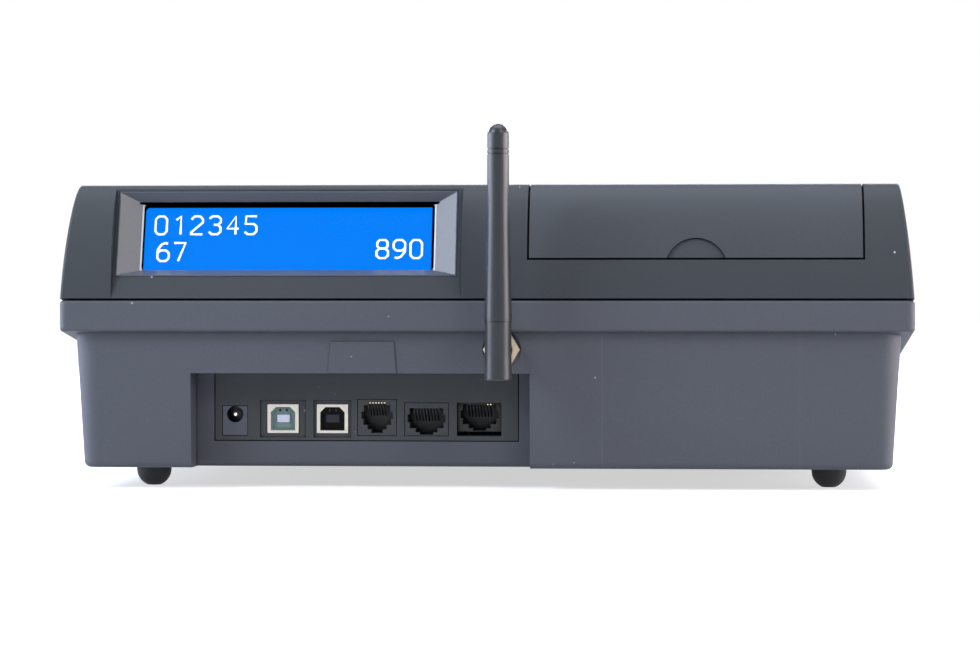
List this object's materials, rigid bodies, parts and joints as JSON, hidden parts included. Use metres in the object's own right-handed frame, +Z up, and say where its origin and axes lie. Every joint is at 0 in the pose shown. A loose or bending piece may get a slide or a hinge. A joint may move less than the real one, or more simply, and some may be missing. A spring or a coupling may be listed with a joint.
{
  "type": "electronic cash register",
  "caption": "Low electronic cash register with a customer display, lidded receipt printer, sprung keys, a connector niche and a tilting antenna.",
  "frame": {"origin": "on the table under the centre of the whole object's box, its antenna included", "axes": "+Z up; -Y towards the customer, with the connectors and the antenna; +Y towards the operator, with the keys; X along the width"},
  "size_m": [0.323, 0.2532, 0.1373],
  "materials": {
    "lower_plastic": "fine textured blue-grey ABS",
    "cover_plastic": "fine textured blue-grey ABS",
    "panel_plastic": "fine textured ABS",
    "window_clear": "clear acrylic",
    "display_blue": "backlit",
    "foot_rubber": "soft black rubber",
    "screw_steel": "zinc plated",
    "socket_black": "black glass-filled nylon",
    "usb_metal": "nickel plated",
    "usb_insert": "moulded",
    "contact_gold": "gold flash",
    "antenna_plastic": "satin black",
    "printer_plastic": "black",
    "shaft_steel": "ground",
    "platen_rubber": "ground rubber",
    "gear_nylon": "natural nylon",
    "head_aluminium": "heat sink",
    "thermal_paper": "thermal paper",
    "core_cardboard": "wound card",
    "key_light": "moulded",
    "key_dark": "moulded",
    "key_blue": "moulded",
    "board_green": "solder mask",
    "battery_wrap": "shrink wrap",
    "control_steel": "tinned"
  },
  "bodies": {
    "case": {"lower_housing": "lower_plastic", "upper_cover": "cover_plastic", "connector_panel": "panel_plastic", "rubber_feet": "foot_rubber", "case_screws": "screw_steel", "customer_display_frame": "cover_plastic", "customer_display_window": "window_clear", "customer_display_module": "display_blue", "operator_display_window": "window_clear", "operator_display_module": "display_blue", "keyboard_board": "board_green", "main_board": "board_green", "dc_jack": "socket_black", "dc_jack_pin": "screw_steel", "usb_shells": "usb_metal", "usb_inserts": "usb_insert", "rj12_socket": "socket_black", "rj45_sockets": "socket_black", "socket_contacts": "contact_gold", "antenna_socket": "contact_gold", "lid_hinge_pin": "screw_steel", "printer_frame": "printer_plastic", "stepper_motor": "shaft_steel", "print_head": "head_aluminium", "tear_bar": "shaft_steel", "battery_pack": "battery_wrap", "control_unit": "control_steel"},
    "lid": {"printer_lid": "cover_plastic"},
    "antenna_swivel": {"antenna_base": "antenna_plastic", "antenna_hinge_pin": "screw_steel"},
    "antenna_arm": {"antenna_knuckle": "antenna_plastic", "antenna_whip": "antenna_plastic"},
    "platen": {"platen_shaft": "shaft_steel", "platen_rubber": "platen_rubber", "platen_gear": "gear_nylon"},
    "idler": {"idler_gear": "gear_nylon"},
    "pinion": {"motor_pinion": "gear_nylon"},
    "paper": {"paper_roll": "thermal_paper", "paper_core": "core_cardboard"},
    "key_7_body": {"key_7": "key_light"},
    "key_8_body": {"key_8": "key_light"},
    "key_9_body": {"key_9": "key_light"},
    "key_4_body": {"key_4": "key_light"},
    "key_5_body": {"key_5": "key_light"},
    "key_6_body": {"key_6": "key_light"},
    "key_1_body": {"key_1": "key_light"},
    "key_2_body": {"key_2": "key_light"},
    "key_3_body": {"key_3": "key_light"},
    "key_0_body": {"key_0": "key_light"},
    "key_00_body": {"key_00": "key_light"},
    "key_point_body": {"key_point": "key_light"},
    "key_clear_body": {"key_clear": "key_blue"},
    "key_menu_body": {"key_menu": "key_dark"},
    "key_plus_body": {"key_plus": "key_blue"},
    "key_up_body": {"key_up": "key_dark"},
    "key_minus_body": {"key_minus": "key_blue"},
    "key_down_body": {"key_down": "key_dark"},
    "key_total_body": {"key_total": "key_blue"},
    "key_feed_body": {"key_feed": "key_dark"}
  },
  "joints": [
    {"name": "lid_hinge", "type": "hinge", "parent": "case", "child": "lid", "pos_m": [0.07965, -0.0234, 0.11072], "axis": [-1, 0, 0], "range_deg": [0, 90]},
    {"name": "antenna_swivel_turn", "type": "hinge", "parent": "case", "child": "antenna_swivel", "pos_m": [0.00665, -0.1054, 0.0532], "axis": [0, -1, 0], "range_deg": [-120, 120]},
    {"name": "antenna_tilt", "type": "hinge", "parent": "antenna_swivel", "child": "antenna_arm", "pos_m": [0.00665, -0.1214, 0.0532], "axis": [1, 0, 0], "range_deg": [0, 90]},
    {"name": "platen_spin", "type": "hinge", "parent": "case", "child": "platen", "pos_m": [0.07965, -0.0094, 0.089], "axis": [1, 0, 0], "continuous": true},
    {"name": "idler_spin", "type": "hinge", "parent": "case", "child": "idler", "pos_m": [0.123, -0.02208, 0.07485], "axis": [1, 0, 0], "continuous": true},
    {"name": "pinion_spin", "type": "hinge", "parent": "case", "child": "pinion", "pos_m": [0.123, -0.0064, 0.066], "axis": [1, 0, 0], "continuous": true},
    {"name": "paper_roll_spin", "type": "hinge", "parent": "case", "child": "paper", "pos_m": [0.07965, -0.0554, 0.064], "axis": [1, 0, 0], "continuous": true},
    {"name": "key_7_press", "type": "slide", "parent": "case", "child": "key_7_body", "axis": [0, -0.3137, -0.9495], "range_m": [0, 0.003], "stiffness_N_per_m": 400, "springref_m": -0.0005},
    {"name": "key_8_press", "type": "slide", "parent": "case", "child": "key_8_body", "axis": [0, -0.3137, -0.9495], "range_m": [0, 0.003], "stiffness_N_per_m": 400, "springref_m": -0.0005},
    {"name": "key_9_press", "type": "slide", "parent": "case", "child": "key_9_body", "axis": [0, -0.3137, -0.9495], "range_m": [0, 0.003], "stiffness_N_per_m": 400, "springref_m": -0.0005},
    {"name": "key_4_press", "type": "slide", "parent": "case", "child": "key_4_body", "axis": [0, -0.3137, -0.9495], "range_m": [0, 0.003], "stiffness_N_per_m": 400, "springref_m": -0.0005},
    {"name": "key_5_press", "type": "slide", "parent": "case", "child": "key_5_body", "axis": [0, -0.3137, -0.9495], "range_m": [0, 0.003], "stiffness_N_per_m": 400, "springref_m": -0.0005},
    {"name": "key_6_press", "type": "slide", "parent": "case", "child": "key_6_body", "axis": [0, -0.3137, -0.9495], "range_m": [0, 0.003], "stiffness_N_per_m": 400, "springref_m": -0.0005},
    {"name": "key_1_press", "type": "slide", "parent": "case", "child": "key_1_body", "axis": [0, -0.3137, -0.9495], "range_m": [0, 0.003], "stiffness_N_per_m": 400, "springref_m": -0.0005},
    {"name": "key_2_press", "type": "slide", "parent": "case", "child": "key_2_body", "axis": [0, -0.3137, -0.9495], "range_m": [0, 0.003], "stiffness_N_per_m": 400, "springref_m": -0.0005},
    {"name": "key_3_press", "type": "slide", "parent": "case", "child": "key_3_body", "axis": [0, -0.3137, -0.9495], "range_m": [0, 0.003], "stiffness_N_per_m": 400, "springref_m": -0.0005},
    {"name": "key_0_press", "type": "slide", "parent": "case", "child": "key_0_body", "axis": [0, -0.3137, -0.9495], "range_m": [0, 0.003], "stiffness_N_per_m": 400, "springref_m": -0.0005},
    {"name": "key_00_press", "type": "slide", "parent": "case", "child": "key_00_body", "axis": [0, -0.3137, -0.9495], "range_m": [0, 0.003], "stiffness_N_per_m": 400, "springref_m": -0.0005},
    {"name": "key_point_press", "type": "slide", "parent": "case", "child": "key_point_body", "axis": [0, -0.3137, -0.9495], "range_m": [0, 0.003], "stiffness_N_per_m": 400, "springref_m": -0.0005},
    {"name": "key_clear_press", "type": "slide", "parent": "case", "child": "key_clear_body", "axis": [0, -0.3137, -0.9495], "range_m": [0, 0.003], "stiffness_N_per_m": 400, "springref_m": -0.0005},
    {"name": "key_menu_press", "type": "slide", "parent": "case", "child": "key_menu_body", "axis": [0, -0.3137, -0.9495], "range_m": [0, 0.003], "stiffness_N_per_m": 400, "springref_m": -0.0005},
    {"name": "key_plus_press", "type": "slide", "parent": "case", "child": "key_plus_body", "axis": [0, -0.3137, -0.9495], "range_m": [0, 0.003], "stiffness_N_per_m": 400, "springref_m": -0.0005},
    {"name": "key_up_press", "type": "slide", "parent": "case", "child": "key_up_body", "axis": [0, -0.3137, -0.9495], "range_m": [0, 0.003], "stiffness_N_per_m": 400, "springref_m": -0.0005},
    {"name": "key_minus_press", "type": "slide", "parent": "case", "child": "key_minus_body", "axis": [0, -0.3137, -0.9495], "range_m": [0, 0.003], "stiffness_N_per_m": 400, "springref_m": -0.0005},
    {"name": "key_down_press", "type": "slide", "parent": "case", "child": "key_down_body", "axis": [0, -0.3137, -0.9495], "range_m": [0, 0.003], "stiffness_N_per_m": 400, "springref_m": -0.0005},
    {"name": "key_total_press", "type": "slide", "parent": "case", "child": "key_total_body", "axis": [0, -0.3137, -0.9495], "range_m": [0, 0.003], "stiffness_N_per_m": 400, "springref_m": -0.0005},
    {"name": "key_feed_press", "type": "slide", "parent": "case", "child": "key_feed_body", "axis": [0, -0.3137, -0.9495], "range_m": [0, 0.003], "stiffness_N_per_m": 400, "springref_m": -0.0005}
  ],
  "couplings": [
    {"joint": "idler_spin", "follows": "platen_spin", "ratio": -0.72727},
    {"joint": "pinion_spin", "follows": "platen_spin", "ratio": 1.1429}
  ]
}
